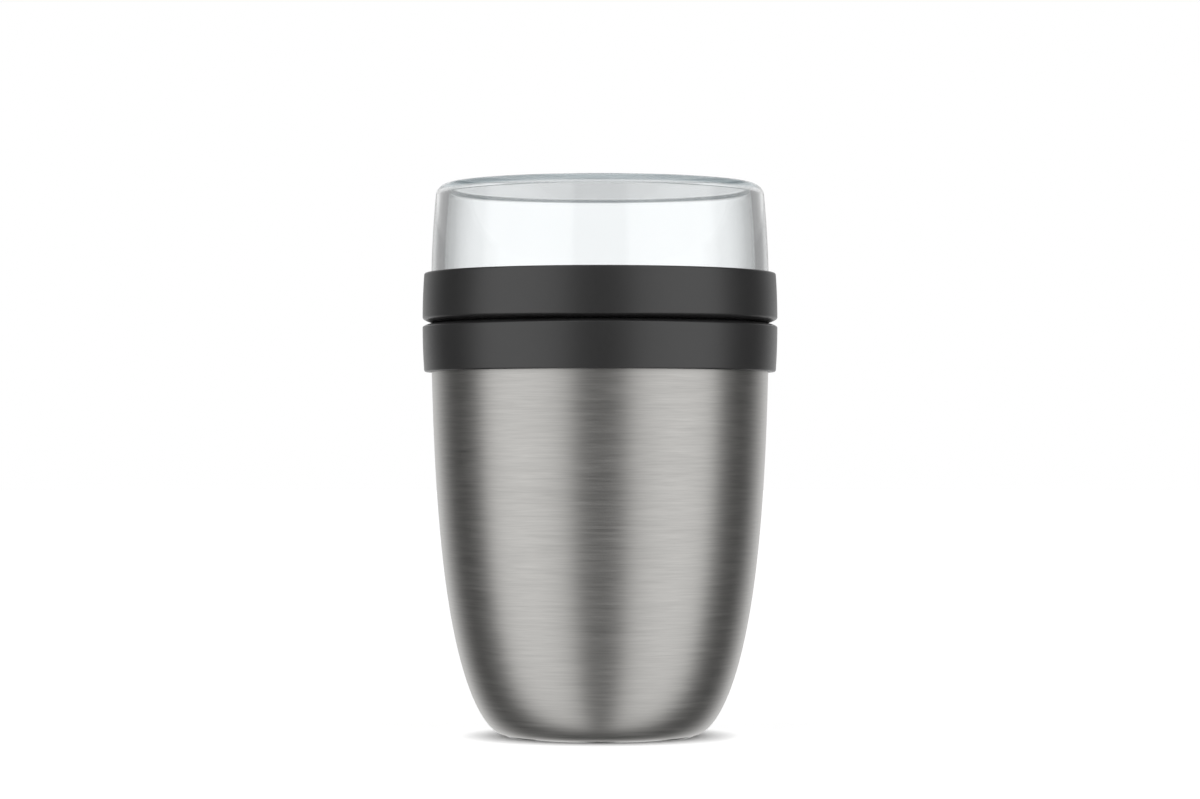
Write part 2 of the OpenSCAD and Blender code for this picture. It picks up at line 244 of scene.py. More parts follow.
def laid(wire, given, steps, across, place, along):
    """Lays the grid over the places, keeps the pattern's coordinates, and ends the tree."""
    columns = wire.math("ADD", steps, 1.0)
    grid = wire.add("GeometryNodeMeshGrid", {"Size X": 1.0, "Size Y": 1.0,
                                             "Vertices X": columns, "Vertices Y": given["Rows"]})
    chart = wire.add("GeometryNodeStoreNamedAttribute",
                     {"Geometry": grid.outputs["Mesh"], "Name": "UVMap",
                      "Value": wire.join(across, along)}, data_type="FLOAT2", domain="CORNER")
    moved = wire.add("GeometryNodeSetPosition",
                     {"Geometry": chart.outputs[0], "Position": place})
    sewn = wire.add("GeometryNodeMergeByDistance",
                    {"Geometry": moved.outputs[0], "Distance": SEWN})
    real = wire.add("GeometryNodeRealizeInstances", {"Geometry": sewn.outputs[0]})
    done = wire.add("GeometryNodeSetMaterial",
                    {"Geometry": real.outputs[0], "Material": given["Finish"]})
    wire.add("NodeGroupOutput", {"Piece": done.outputs[0]})


def turned_tree():
    """Turns an outline about the Z axis; the last column falls on the first."""
    tree = shape_tree("Turned piece", {"Rows": "NodeSocketInt", "Segments": "NodeSocketInt"})
    wire = Wiring(tree)
    given = wire.add("NodeGroupInput").outputs
    part, column, row = grid_counts(wire, given, given["Segments"])
    radius, height, along = sampled(wire, given["Outline"], row)
    angle = wire.math("MULTIPLY", wire.math("DIVIDE", column, given["Segments"]), TURN)
    last = 0.9999
    shut = wire.math("MULTIPLY", angle, wire.math("LESS_THAN", part, last))
    place = wire.join(wire.math("MULTIPLY", radius, wire.math("COSINE", shut)),
                      wire.math("MULTIPLY", radius, wire.math("SINE", shut)), height)
    laid(wire, given, given["Segments"], part, place, along)
    return tree


def thread_tree():
    """Winds a thread's outline round the Z axis, and lets it run out into its wall at both ends."""
    names = ("Radius", "Sunk", "Pitch", "Turns", "Start height", "Start angle", "Run-out")
    sizes = {"Rows": "NodeSocketInt", "Steps": "NodeSocketInt"}
    sizes.update({label: "NodeSocketFloat" for label in names})
    tree = shape_tree("Screw thread", sizes)
    wire = Wiring(tree)
    given = wire.add("NodeGroupInput").outputs
    part, _, row = grid_counts(wire, given, given["Steps"])
    out, up, along = sampled(wire, given["Outline"], row)
    ends = wire.math("MINIMUM", part, wire.math("SUBTRACT", 1.0, part))
    full = wire.add("ShaderNodeMapRange",
                    {"Value": ends, "From Min": 0.0, "From Max": given["Run-out"]},
                    interpolation_type="SMOOTHSTEP").outputs[0]
    turns = wire.math("MULTIPLY", part, given["Turns"])
    angle = wire.math("ADD", wire.math("MULTIPLY", turns, TURN), given["Start angle"])
    inner = wire.math("ADD", given["Radius"], given["Sunk"])
    radius = wire.math("ADD", inner, wire.math("MULTIPLY", full,
                                               wire.math("SUBTRACT", out, given["Sunk"])))
    rise = wire.math("ADD", given["Start height"], wire.math("MULTIPLY", turns, given["Pitch"]))
    height = wire.math("ADD", rise, wire.math("MULTIPLY", up, full))
    place = wire.join(wire.math("MULTIPLY", radius, wire.math("COSINE", angle)),
                      wire.math("MULTIPLY", radius, wire.math("SINE", angle)), height)
    laid(wire, given, given["Steps"], part, place, along)
    return tree


# Outlines, as lists of [radius, height] and [radius, height, rounding]

def away(a, b):
    """The distance between two points."""
    return math.hypot(a[0] - b[0], a[1] - b[1])


def corner(a, b, c, rounding, steps=9):
    """The arc that rounds corner b, between its neighbours a and c."""
    ux, uy = ((a[i] - b[i]) / away(a, b) for i in (0, 1))
    vx, vy = ((c[i] - b[i]) / away(c, b) for i in (0, 1))
    half = math.acos(max(-1.0, min(1.0, ux * vx + uy * vy))) / 2
    reach, middle = rounding / math.tan(half), rounding / math.sin(half)
    norm = math.hypot(ux + vx, uy + vy)
    mx, my = b[0] + (ux + vx) / norm * middle, b[1] + (uy + vy) / norm * middle
    start = math.atan2(b[1] + uy * reach - my, b[0] + ux * reach - mx)
    sweep = math.atan2(b[1] + vy * reach - my, b[0] + vx * reach - mx) - start
    sweep = (sweep + math.pi) % TURN - math.pi
    return [[mx + rounding * math.cos(start + sweep * i / steps),
             my + rounding * math.sin(start + sweep * i / steps)] for i in range(steps + 1)]


def rounded(points):
    """The outline with its marked corners rounded."""
    made, count = [], len(points)
    for i, point in enumerate(points):
        if len(point) == 3:
            made += corner(points[i - 1], point, points[(i + 1) % count], point[2])
        else:
            made.append(list(point))
    return made


def turn_at(a, b, c):
    """The angle by which the line from a to c turns at b."""
    first = math.atan2(b[1] - a[1], b[0] - a[0])
    second = math.atan2(c[1] - b[1], c[0] - b[0])
    return abs(math.remainder(second - first, TURN))


def supported(points, reach=0.15 * MM, step=3 * MM, slight=0.05):
    """The closed outline with points close to each corner, so that flat faces shade flat."""
    made = []
    for i, b in enumerate(points):
        far, a, after = points[i - 2], points[i - 1], points[(i + 1) % len(points)]
        span = away(a, b)
        if span > 4 * reach:
            count = max(1, math.ceil(span / step))
            stops = [k / count for k in range(1, count)]
            if turn_at(far, a, b) > slight:
                stops.insert(0, reach / span)
            if turn_at(a, b, after) > slight:
                stops.append(1 - reach / span)
            made += [[a[0] + (b[0] - a[0]) * s, a[1] + (b[1] - a[1]) * s] for s in stops]
        made.append(b)
    return [points[-1]] + made


def bend(a, b, c, steps=14):
    """A smooth bend from a to c, drawn towards the corner b."""
    shares = [i / steps for i in range(steps + 1)]
    return [[a[k] * (1 - t) ** 2 + b[k] * 2 * t * (1 - t) + c[k] * t * t for k in (0, 1)]
            for t in shares]


def belly(size, low_r, high_r, low_z, high_z, inset=0.0, steps=72):
    """The pot's curve from its heel to its rim, moved inwards by inset."""
    upper, heel = size.upper_fullness, size.heel_fullness
    tall = size.show_height * size.closing_share
    u_top = (1 - (1 - (high_z - low_z) / tall) ** upper) ** (1 / heel)
    wide = (high_r - low_r) / u_top
    made = []
    for i in range(steps + 1):
        u = u_top * math.sin(math.pi / 2 * i / steps)
        slope = tall * heel / upper * (1 - u ** heel) ** (1 / upper - 1) * u ** (heel - 1)
        norm = math.hypot(slope, wide)
        made.append([low_r + wide * u - inset * slope / norm,
                     low_z + tall * (1 - (1 - u ** heel) ** (1 / upper)) + inset * wide / norm])
    return made


def measures():
    """The fixed small sizes and all derived ones, as the construction has them."""
    kit = bpy.context.scene.food_container
    pot, lid, cup, thread = kit.pot, kit.lid, kit.cup, kit.thread
    m = SimpleNamespace(run=0.3 * MM, snap=0.1 * MM, soft=0.5 * MM, fine=0.3 * MM,
                        base_ring=2.9 * MM, skirt_room=0.35 * MM, floor_room=0.5 * MM,
                        seat_depth=0.6 * MM, bore_h=2.2 * MM, cup_step=0.6 * MM,
                        rib=1.1 * MM, rib_h=2.5 * MM, collar=2.1 * MM, collar_h=1.7 * MM,
                        shoulder_fall=1.4 * MM, shoulder_turn=1.2 * MM, hollow=2.0 * MM)
    m.shoulder_z = pot.show_height + pot.shoulder_lift
    m.lip_z = m.shoulder_z + pot.neck_height
    m.neck_r = pot.rim_radius - pot.neck_step
    m.neck_in_r = m.neck_r - pot.wall
    m.liner_r = m.neck_in_r - pot.wall_gap
    m.mouth_r = m.liner_r - pot.wall
    m.hole_r = pot.heel_radius - m.base_ring
    m.ledge_z = pot.foot_height + pot.wall
    m.ring_r = pot.rim_radius + lid.ring_proud
    m.groove_z = pot.show_height + lid.pot_ring_height
    m.tip_r = m.ring_r - lid.groove_depth
    m.ring_top_z = m.groove_z + lid.cup_ring_height
    m.skirt_r = pot.rim_radius + m.skirt_room
    m.skirt_z = m.shoulder_z + m.skirt_room
    m.pot_root_r = m.neck_r + thread.depth + thread.gap
    m.seal_top_z = m.lip_z + lid.seal_height
    m.deck_z = m.groove_z - lid.recess_depth
    m.under_z = m.deck_z - lid.deck
    m.recess_r = m.tip_r - lid.land
    m.insert_r = m.mouth_r - lid.insert_room
    m.rib_r = m.insert_r + m.snap + m.rib
    m.insert_z = m.under_z - lid.insert_depth
    m.collar_r = m.recess_r - m.run
    m.floor_under_z = m.groove_z + m.floor_room
    m.floor_z = m.floor_under_z + lid.floor
    m.seat_z = m.floor_z - m.seat_depth
    m.mouth_z = m.seat_z + lid.seal_height
    m.cup_r = pot.rim_radius + m.snap
    m.cup_in_r = m.cup_r - cup.wall
    m.cup_neck_r = m.cup_in_r + cup.mouth_wall
    m.cup_root_r = m.cup_neck_r + thread.depth + thread.gap
    m.bore_r = m.cup_r + m.run
    m.cup_top_z = m.ring_top_z + cup.show_height
    m.ceiling_z = m.cup_top_z - cup.end
    m.cup_shoulder_z = m.ring_top_z - m.bore_h / 2
    return kit, m


def ring_side(m, lid, from_z, to_z, steps=16):
    """The side of a ring, from its full width to its rounded far edge."""
    made = []
    for i in range(1, steps + 1):
        t = i / steps
        made.append([m.ring_r - lid.ring_taper * t * t, from_z + (to_z - from_z) * t])
    made[-1].append(lid.ring_edge)
    return made


def groove_side(m, from_z):
    """Half of the groove between the rings."""
    return bend([m.tip_r, m.groove_z], [m.ring_r, (m.groove_z + from_z) / 2], [m.ring_r, from_z])


def cup_side(m, cup, to_z, inset, edge, steps=24, clear=1.2):
    """The cup's wall from its ring to to_z, in steps that end below the rounding."""
    made = []
    tall = to_z - clear * edge - m.ring_top_z
    for z in [m.ring_top_z + tall * i / steps for i in range(steps + 1)] + [to_z]:
        t = (z - m.ring_top_z) / cup.show_height
        made.append([m.cup_r - inset - cup.draft * t * (1 + 2 * t) / 3, z])
    made[-1].append(edge)
    return made


# Making pieces

TREES = {}


def tree_of(kind):
    """The geometry tree of this kind, made once."""
    if kind not in TREES:
        TREES[kind] = {"turned": turned_tree, "thread": thread_tree}[kind]()
    return TREES[kind]


def shaped(name, kind, points, finish, sizes):
    """Runs a geometry tree on an outline and returns the plain mesh object that it makes."""
    mesh = bpy.data.meshes.new(name)
    mesh.from_pydata([(r, 0.0, z) for r, z in points],
                     [(i, i + 1) for i in range(len(points) - 1)], [])
    along, way = [0.0], 0.0
    for a, b in zip(points, points[1:]):
        way += away(a, b)
        along.append(way)
    mesh.attributes.new("along", "FLOAT", "POINT").data.foreach_set("value", along)
    piece = bpy.data.objects.new(name, mesh)
    bpy.context.scene.collection.objects.link(piece)
    tree = tree_of(kind)
    modifier = piece.modifiers.new("Shape", "NODES")
    modifier.node_group = tree
    values = dict(sizes, Rows=len(points), Finish=finish)
    for item in tree.interface.items_tree:
        if item.in_out == "INPUT" and item.name in values:
            modifier[item.identifier] = values[item.name]
    graph = bpy.context.evaluated_depsgraph_get()
    made = bpy.data.meshes.new_from_object(piece.evaluated_get(graph))
    piece.modifiers.clear()
    piece.data = made
    made.name = name
    bpy.data.meshes.remove(mesh)
    point_outwards(made)
    made.polygons.foreach_set("use_smooth", [True] * len(made.polygons))
    made.set_sharp_from_angle(angle=SHARP)
    return piece


def point_outwards(mesh):
    """Turns all faces round if the closed mesh has its inside out."""
    mesh.calc_loop_triangles()
    volume = 0.0
    for triangle in mesh.loop_triangles:
        a, b, c = (mesh.vertices[i].co for i in triangle.vertices)
        volume += a.dot(b.cross(c))
    if volume < 0:
        mesh.flip_normals()


def turned(name, outline, finish, body, slot, *nodes):
    """A turned piece that stands for CAD nodes and rides on their body."""
    kit = bpy.context.scene.food_container
    piece = shaped(name, "turned", supported(rounded(outline)), finish,
                   {"Segments": kit.segments})
    return seated(piece, body, slot, *nodes)


def seated(piece, body, slot, *nodes):
    """Gives the piece its body and hides the CAD nodes that it stands for; the slot is not used."""
    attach(piece, body)
    if nodes:
        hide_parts(*nodes)
    return piece


# Finishes

LOOKS = {}


def look(name):
    """The finish with this name, made once."""
    if name not in LOOKS:
        LOOKS[name] = FINISHES[name]()
    return LOOKS[name]


def new_look(name):
    """A material, its wiring, and its shader."""
    material = bpy.data.materials.new(name)
    material.use_nodes = True
    wire = Wiring(material.node_tree)
    return material, wire, material.node_tree.nodes["Principled BSDF"]


def colour_of(finish):
    """The colour that the user gives this finish."""
    return getattr(bpy.context.scene.food_container.finish, finish)


def object_place(wire):
    """The place on the piece, in metres."""
    return wire.add("ShaderNodeTexCoord").outputs["Object"]


def noise(wire, vector, scale, detail=3.0, rough=0.55):
    """Cloudy noise; the scale is in waves to a metre."""
    return wire.add("ShaderNodeTexNoise", {"Vector": vector, "Scale": scale, "Detail": detail,
                                           "Roughness": rough}).outputs["Fac"]


def cells(wire, vector, scale):
    """The distance from the middle of small round cells."""
    return wire.add("ShaderNodeTexVoronoi",
                    {"Vector": vector, "Scale": scale}).outputs["Distance"]


def stretched(wire, vector, x, y, z):
    """The place, scaled along each axis."""
    return wire.add("ShaderNodeMapping", {"Vector": vector, "Scale": (x, y, z)}).outputs[0]


def ranged(wire, value, low, high, from_low=0.3, from_high=0.7):
    """The value, moved from one range to another; noise lies mostly from 0.3 to 0.7."""
    return wire.add("ShaderNodeMapRange", {"Value": value, "From Min": from_low,
                                           "From Max": from_high, "To Min": low,
                                           "To Max": high}).outputs[0]


def blended(wire, factor, first, second):
    """A mix of two colours."""
    mix = wire.add("ShaderNodeMix", data_type="RGBA")
    for place, value in ((0, factor), (6, first), (7, second)):
        wire.feed(mix.inputs[place], value)
    return mix.outputs[2]


def shade(colour, by):
    """The colour, lighter or darker."""
    return tuple(min(1.0, part * by) for part in colour) + (1.0,)


def mottled(wire, pattern, colour, dark, light, **reach):
    """The colour, from a dark to a light share of it by the pattern."""
    return blended(wire, ranged(wire, pattern, 0.0, 1.0, **reach), shade(colour, dark),
                   shade(colour, light))


def bumped(wire, height, distance, strength):
    """The surface's normal, tilted by this relief."""
    return wire.add("ShaderNodeBump", {"Height": height, "Distance": distance,
                                       "Strength": strength}).outputs[0]


def round_steel(name, colour, smooth, rough, across, spread):
    """Steel brushed round the axis: fine streaks of even width follow the outline."""
    material, wire, shader = new_look(name)
    x, y, _ = wire.split(object_place(wire))
    along = wire.split(wire.add("ShaderNodeUVMap", uv_map="UVMap").outputs[0])[1]
    place = wire.join(x, y, along)
    fine = noise(wire, stretched(wire, place, 55, 55, across), 1.0, 4.0, 0.6)
    hair = noise(wire, stretched(wire, place, 120, 120, across * 2.6), 1.0, 2.0, 0.5)
    cloud = noise(wire, stretched(wire, place, 9, 9, 14), 1.0, 3.0, 0.5)
    hair_share = 0.35
    streak = wire.math("ADD", wire.math("MULTIPLY", fine, 1 - hair_share),
                       wire.math("MULTIPLY", hair, hair_share))
    tone = mottled(wire, streak, colour, dark=1 - spread, light=1 + spread)
    tone = blended(wire, ranged(wire, cloud, low=0.0, high=0.12), tone, shade(colour, 0.9))
    tangent = wire.add("ShaderNodeTangent", direction_type="RADIAL", axis="Z")
    wire.feed_all(shader, {
        "Base Color": tone, "Metallic": 1.0,
        "Roughness": ranged(wire, streak, smooth, rough),
        "Normal": bumped(wire, streak, distance=0.012 * MM, strength=0.6),
        "Anisotropic": 0.35, "Anisotropic Rotation": 0.25, "Tangent": tangent.outputs[0]})
    return material


def brushed_wall():
    return round_steel("brushed_wall", colour_of("steel"),
                       smooth=0.32, rough=0.41, across=1150, spread=0.14)


def satin_steel():
    return round_steel("satin_steel", colour_of("liner"),
                       smooth=0.24, rough=0.32, across=2200, spread=0.04)


def pressed_steel():
    """Bare sheet steel of the hidden plate, with faint rolling lines."""
    material, wire, shader = new_look("pressed_steel")
    place = object_place(wire)
    lines = noise(wire, stretched(wire, place, 40, 2200, 40), scale=1.0)
    stains = noise(wire, place, scale=90.0)
    wire.feed_all(shader, {
        "Base Color": mottled(wire, stains, colour_of("liner"), dark=0.86, light=1.0),
        "Metallic": 1.0,
        "Roughness": ranged(wire, lines, low=0.30, high=0.42),
        "Normal": bumped(wire, lines, distance=0.008 * MM, strength=0.5)})
    return material


def moulded_plastic():
    """Matt moulded plastic with a fine spark-eroded grain."""
    material, wire, shader = new_look("moulded_plastic")
    place = object_place(wire)
    grain = noise(wire, place, scale=2600.0, detail=2.0, rough=0.6)
    cloud = noise(wire, place, scale=60.0, rough=0.5)
    wire.feed_all(shader, {
        "Base Color": mottled(wire, cloud, colour_of("plastic"), dark=0.94, light=1.06),
        "Roughness": ranged(wire, grain, low=0.31, high=0.41),
        "Normal": bumped(wire, grain, distance=0.006 * MM, strength=0.5),
        "Specular IOR Level": 1.0})
    return material


def clear_plastic():
    """Clear plastic, with painted light at the edge of its flat end, where that thick edge collects
    light.
    """
    material, wire, shader = new_look("clear_plastic")
    _, m = measures()
    place = object_place(wire)
    x, y, z = wire.split(place)
    wave = noise(wire, place, scale=45.0, detail=2.0, rough=0.4)
    haze = noise(wire, place, scale=700.0, rough=0.6)
    tone = mottled(wire, wave, colour_of("clear"), dark=0.995, light=1.0)
    from_axis = wire.math("SQRT", wire.math("ADD", wire.math("MULTIPLY", x, x),
                                            wire.math("MULTIPLY", y, y)))
    rim_low, rim_high = m.ceiling_z - 0.3 * MM, m.ceiling_z + 0.6 * MM
    rim_in, rim_out = m.cup_r - 6.4 * MM, m.cup_r - 4.8 * MM
    rim = wire.math("MULTIPLY", ranged(wire, z, 0.0, 1.0, rim_low, rim_high),
                    ranged(wire, from_axis, 0.0, 1.0, rim_in, rim_out))
    # Painted light: the rim is coloured pale blue-white, partly diffuse instead of clear, and
    # partly see-through, to stand in for the light the thick edge collects
    painted_light_tint, painted_light_share, see_through_share = (0.74, 0.91, 0.98, 1.0), 0.85, 0.45
    wire.feed_all(shader, {
        "Base Color": blended(wire, rim, tone, painted_light_tint),
        "Roughness": ranged(wire, haze, low=0.0, high=0.01),
        "Transmission Weight": wire.math("SUBTRACT", 1.0, wire.math("MULTIPLY", rim, painted_light_share)),
        "Alpha": wire.math("SUBTRACT", 1.0, wire.math("MULTIPLY", rim, see_through_share)),
        "Normal": bumped(wire, wave, distance=0.01 * MM, strength=0.1),
        "IOR": 1.57})
    return material


def soft_silicone():
    """Milky silicone with a dusty surface."""
    material, wire, shader = new_look("soft_silicone")
    place = object_place(wire)
    dust = noise(wire, place, scale=1500.0, rough=0.6)
    cloud = noise(wire, place, scale=130.0)
    wire.feed_all(shader, {
        "Base Color": mottled(wire, cloud, colour_of("silicone"), dark=0.95, light=1.04),
        "Roughness": ranged(wire, dust, low=0.42, high=0.58),
        "Normal": bumped(wire, dust, distance=0.005 * MM, strength=0.4),
        "Subsurface Weight": 0.35, "Subsurface Radius": (1.0, 0.9, 0.8),
        "Subsurface Scale": 1.5 * MM})
    return material


def closed_foam():
    """Foamed disc with small cells."""
    material, wire, shader = new_look("closed_foam")
    place = object_place(wire)
    pores = cells(wire, place, scale=900.0)
    cloud = noise(wire, place, scale=80.0)
    wire.feed_all(shader, {
        "Base Color": mottled(wire, cloud, colour_of("foam"), dark=0.9, light=1.03),
        "Roughness": ranged(wire, pores, 0.95, 0.75, from_low=0.0, from_high=0.8),
        "Normal": bumped(wire, pores, distance=0.15 * MM, strength=0.6)})
    return material


def fused_glass():
    """Dark solder glass, fused to a smooth bead with small bubbles."""
    material, wire, shader = new_look("fused_glass")
    place = object_place(wire)
    bubbles = cells(wire, place, scale=1800.0)
    cloud = noise(wire, place, scale=400.0)
    wire.feed_all(shader, {
        "Base Color": mottled(wire, cloud, colour_of("solder"), dark=0.7, light=1.4),
        "Roughness": ranged(wire, cloud, low=0.08, high=0.2),
        "Normal": bumped(wire, bubbles, distance=0.02 * MM, strength=0.3)})
    return material


def sintered_metal():
    """Dull pressed metal powder."""
    material, wire, shader = new_look("sintered_metal")
    grains = cells(wire, object_place(wire), scale=2400.0)
    reach = {"from_low": 0.0, "from_high": 0.8}
    wire.feed_all(shader, {
        "Base Color": mottled(wire, grains, colour_of("getter"), dark=0.7, light=1.1, **reach),
        "Metallic": 0.9,
        "Roughness": ranged(wire, grains, 0.5, 0.75, **reach),
        "Normal": bumped(wire, grains, distance=0.03 * MM, strength=0.7)})
    return material


FINISHES = {made.__name__: made for made in (
    brushed_wall, satin_steel, pressed_steel, moulded_plastic, clear_plastic, soft_silicone,
    closed_foam, fused_glass, sintered_metal)}


# Operators

class FOODPOT_OT_steel_body(bpy.types.Operator):
    """Make the outer wall, the liner and the foot of the pot"""
    bl_idname = "food_container.steel_body"
    bl_label = "Steel body"

    def execute(self, context):
        kit, m = measures()
        pot = kit.pot
        fall, turn_r, lip_edge = m.shoulder_fall, m.shoulder_turn, pot.lip * 0.4
        tilt = math.atan(fall / pot.neck_step)
        drop = pot.wall * (1 / math.cos(tilt) - math.tan(tilt))
        rim, wall = pot.rim_radius, pot.wall
        heel = (pot.heel_radius, rim, pot.foot_height, pot.show_height)
        turned("pot_wall",
               [[m.hole_r, pot.foot_height]] + belly(pot, *heel)
               + [[rim, m.shoulder_z, turn_r],
                  [m.neck_r, m.shoulder_z + fall, turn_r - wall],
                  [m.neck_r, m.lip_z - pot.lip],
                  [m.neck_in_r, m.lip_z - pot.lip],
                  [m.neck_in_r, m.shoulder_z + fall - drop, turn_r],
                  [rim - wall, m.shoulder_z - drop, turn_r - wall]]
               + belly(pot, *heel, inset=wall)[::-1] + [[m.hole_r, m.ledge_z]],
               look("brushed_wall"), "pot", "brushed_wall", "outer_shell")
        bowl = (pot.liner_heel_radius, m.liner_r, pot.liner_height, pot.show_height)
        turned("pot_liner",
               [[0.0, pot.liner_height]] + belly(pot, *bowl)
               + [[m.liner_r, m.lip_z - pot.lip],
                  [m.neck_r, m.lip_z - pot.lip],
                  [m.neck_r, m.lip_z, lip_edge], [m.mouth_r, m.lip_z, lip_edge]]
               + belly(pot, *bowl, inset=wall)[::-1] + [[0.0, pot.liner_height + wall]],
               look("satin_steel"), "pot", "plain_steel", "inner_liner")
        hub, hollow, edge = m.hole_r - m.snap, m.hollow, m.fine
        inner = hub - wall
        turned("pot_foot",
               [[0.0, hollow], [inner, hollow, edge], [inner, 0.0, edge],
                [pot.heel_radius - m.run, 0.0, edge],
                [pot.heel_radius - m.run, pot.foot_height], [hub, pot.foot_height],
                [hub, hollow + wall, edge], [0.0, hollow + wall]],
               look("satin_steel"), "pot", "plain_steel", "foot_cap")
        return {"FINISHED"}


class FOODPOT_OT_pot_lid(bpy.types.Operator):
    """Make the pot lid's ring and deck, and the insert under it"""
    bl_idname = "food_container.pot_lid"
    bl_label = "Pot lid"

    def execute(self, context):
        kit, m = measures()
        lid, pot = kit.lid, kit.pot
        rib_z, rib_in = m.under_z - m.rib_h, m.insert_r + m.snap
        turned("pot_lid_ring",
               [[0.0, m.under_z], [rib_in, m.under_z], [rib_in, rib_z], [m.rib_r, rib_z, m.fine],
                [m.rib_r, m.seal_top_z], [m.pot_root_r, m.seal_top_z, m.fine],
                [m.pot_root_r, m.skirt_z + m.skirt_r - m.pot_root_r],
                [m.skirt_r, m.skirt_z], [m.skirt_r, pot.show_height, m.fine]]
               + ring_side(m, lid, m.groove_z - lid.groove_low, pot.show_height)[::-1]
               + groove_side(m, m.groove_z - lid.groove_low)[::-1]
               + [[m.recess_r, m.groove_z, m.soft], [m.recess_r, m.deck_z, m.soft],
                  [0.0, m.deck_z]],
               look("moulded_plastic"), "pot_lid", "dark_plastic", "pot_lid")
        foam_z, inner = m.insert_z + lid.insert_wall, m.insert_r - lid.insert_wall
        outer_heel, inner_heel = 3 * MM, 1.5 * MM
        turned("lid_insert_shell",
               [[0.0, m.insert_z], [m.insert_r, m.insert_z, outer_heel],
                [m.insert_r, m.under_z], [inner, m.under_z], [inner, foam_z, inner_heel],
                [0.0, foam_z]],
               look("moulded_plastic"), "pot_lid", "dark_plastic", "lid_insert")
        return {"FINISHED"}


class FOODPOT_OT_cup_lid(bpy.types.Operator):
    """Make the cup lid's ring, floor and collar"""
    bl_idname = "food_container.cup_lid"
    bl_label = "Cup lid"

    def execute(self, context):
        kit, m = measures()
        lid = kit.lid
        collar_in, collar_z = m.collar_r - m.collar, m.groove_z - m.collar_h
        seat_r = m.cup_in_r - m.soft - m.run
        turned("cup_lid_ring",
               [[0.0, m.floor_under_z], [collar_in, m.floor_under_z, m.fine],
                [collar_in, collar_z, m.fine], [m.collar_r, collar_z, m.soft],
                [m.collar_r, m.groove_z]]
               + groove_side(m, m.groove_z + lid.groove_up)
               + ring_side(m, lid, m.groove_z + lid.groove_up, m.ring_top_z)
               + [[m.bore_r, m.ring_top_z, m.fine], [m.bore_r, m.ring_top_z - m.bore_h],
                  [m.cup_root_r, m.ring_top_z - m.bore_h - m.bore_r + m.cup_root_r],
                  [m.cup_root_r, m.seat_z, m.fine], [seat_r, m.seat_z],
                  [seat_r, m.floor_z, m.fine], [0.0, m.floor_z]],
               look("moulded_plastic"), "cup_lid", "dark_plastic", "cup_lid")
        return {"FINISHED"}


class FOODPOT_OT_cup(bpy.types.Operator):
    """Make the clear cup"""
    bl_idname = "food_container.cup"
    bl_label = "Clear cup"

    def execute(self, context):
        kit, m = measures()
        cup = kit.cup
        turned("cup_wall",
               [[m.cup_in_r, m.mouth_z, m.soft], [m.cup_neck_r, m.mouth_z, m.soft],
                [m.cup_neck_r, m.cup_shoulder_z, m.fine],
                [m.cup_r, m.cup_shoulder_z + m.cup_step, m.fine]]
               + cup_side(m, cup, m.cup_top_z, 0.0, cup.edge)
               + [[0.0, m.cup_top_z], [0.0, m.ceiling_z]]
               + cup_side(m, cup, m.ceiling_z, cup.wall, cup.inner_edge)[::-1],
               look("clear_plastic"), "cup", "clear_plastic", "cup")
        return {"FINISHED"}


class FOODPOT_OT_seals(bpy.types.Operator):
    """Make the two silicone seals"""
    bl_idname = "food_container.seals"
    bl_label = "Seals"

    def execute(self, context):
        kit, m = measures()
        cup_in = m.cup_in_r - m.soft
        for name, body, low_r, high_r, low_z, high_z in (
                ("pot_seal_ring", "pot_seal", m.rib_r + m.run, m.neck_r - m.run,
                 m.lip_z, m.seal_top_z),
                ("cup_seal_ring", "cup_seal", cup_in,
                 min(cup_in + kit.lid.cup_seal_width, m.cup_neck_r + kit.thread.gap / 2),
                 m.seat_z, m.mouth_z)):
            turned(name, [[low_r, low_z, m.soft], [high_r, low_z, m.soft],
                          [high_r, high_z, m.soft], [low_r, high_z, m.soft]],
                   look("soft_silicone"), body, "silicone", body)
        return {"FINISHED"}


class FOODPOT_OT_threads(bpy.types.Operator):
    """Wind the threads of the pot's neck, the cup's neck and both lids"""
    bl_idname = "food_container.threads"
    bl_label = "Threads"

    def execute(self, context):
        kit, m = measures()
        size = kit.thread
        half = size.pitch / 2
        low, cup_low = m.skirt_z + 2.2 * MM, m.seat_z + 3.2 * MM
        root_sunk, crest_edge = 0.25 * MM, 0.2 * MM
        for name, radius, way, start, turns, finish, body, slot in (
                ("pot_thread", m.neck_r, 1, low, 1.15, "brushed_wall", "pot", "brushed_wall"),
                ("pot_lid_thread", m.pot_root_r, -1, low + half, 1.1, "moulded_plastic",
                 "pot_lid", "dark_plastic"),
                ("cup_thread", m.cup_neck_r, 1, cup_low + half, 1.35, "clear_plastic", "cup",
                 "clear_plastic"),
                ("cup_lid_thread", m.cup_root_r, -1, cup_low, 1.5, "moulded_plastic", "cup_lid",
                 "dark_plastic")):
            sunk = -way * root_sunk
            crest = way * size.depth
            outline = rounded([[sunk, -size.root / 2], [0.0, -size.root / 2],
                               [crest, -size.crest / 2, crest_edge],
                               [crest, size.crest / 2, crest_edge],
                               [0.0, size.root / 2], [sunk, size.root / 2]])
            piece = shaped(name, "thread", outline + outline[:1], look(finish),
                           {"Steps": size.steps, "Radius": radius, "Sunk": sunk,
                            "Pitch": size.pitch, "Turns": turns, "Start height": start,
                            "Start angle": 0.6, "Run-out": 0.06})
            seated(piece, body, slot)
        return {"FINISHED"}


class FOODPOT_OT_hidden_pieces(bpy.types.Operator):
    """Give the pieces inside the walls and the insert their finishes"""
    bl_idname = "food_container.hidden_pieces"
    bl_label = "Hidden pieces"

    def execute(self, context):
        for node, finish in (("vacuum_base", "pressed_steel"), ("solder_bead", "fused_glass"),
                             ("getter", "sintered_metal"), ("lid_foam", "closed_foam")):
            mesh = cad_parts[node].data
            mesh.materials.clear()
            mesh.materials.append(look(finish))
        return {"FINISHED"}


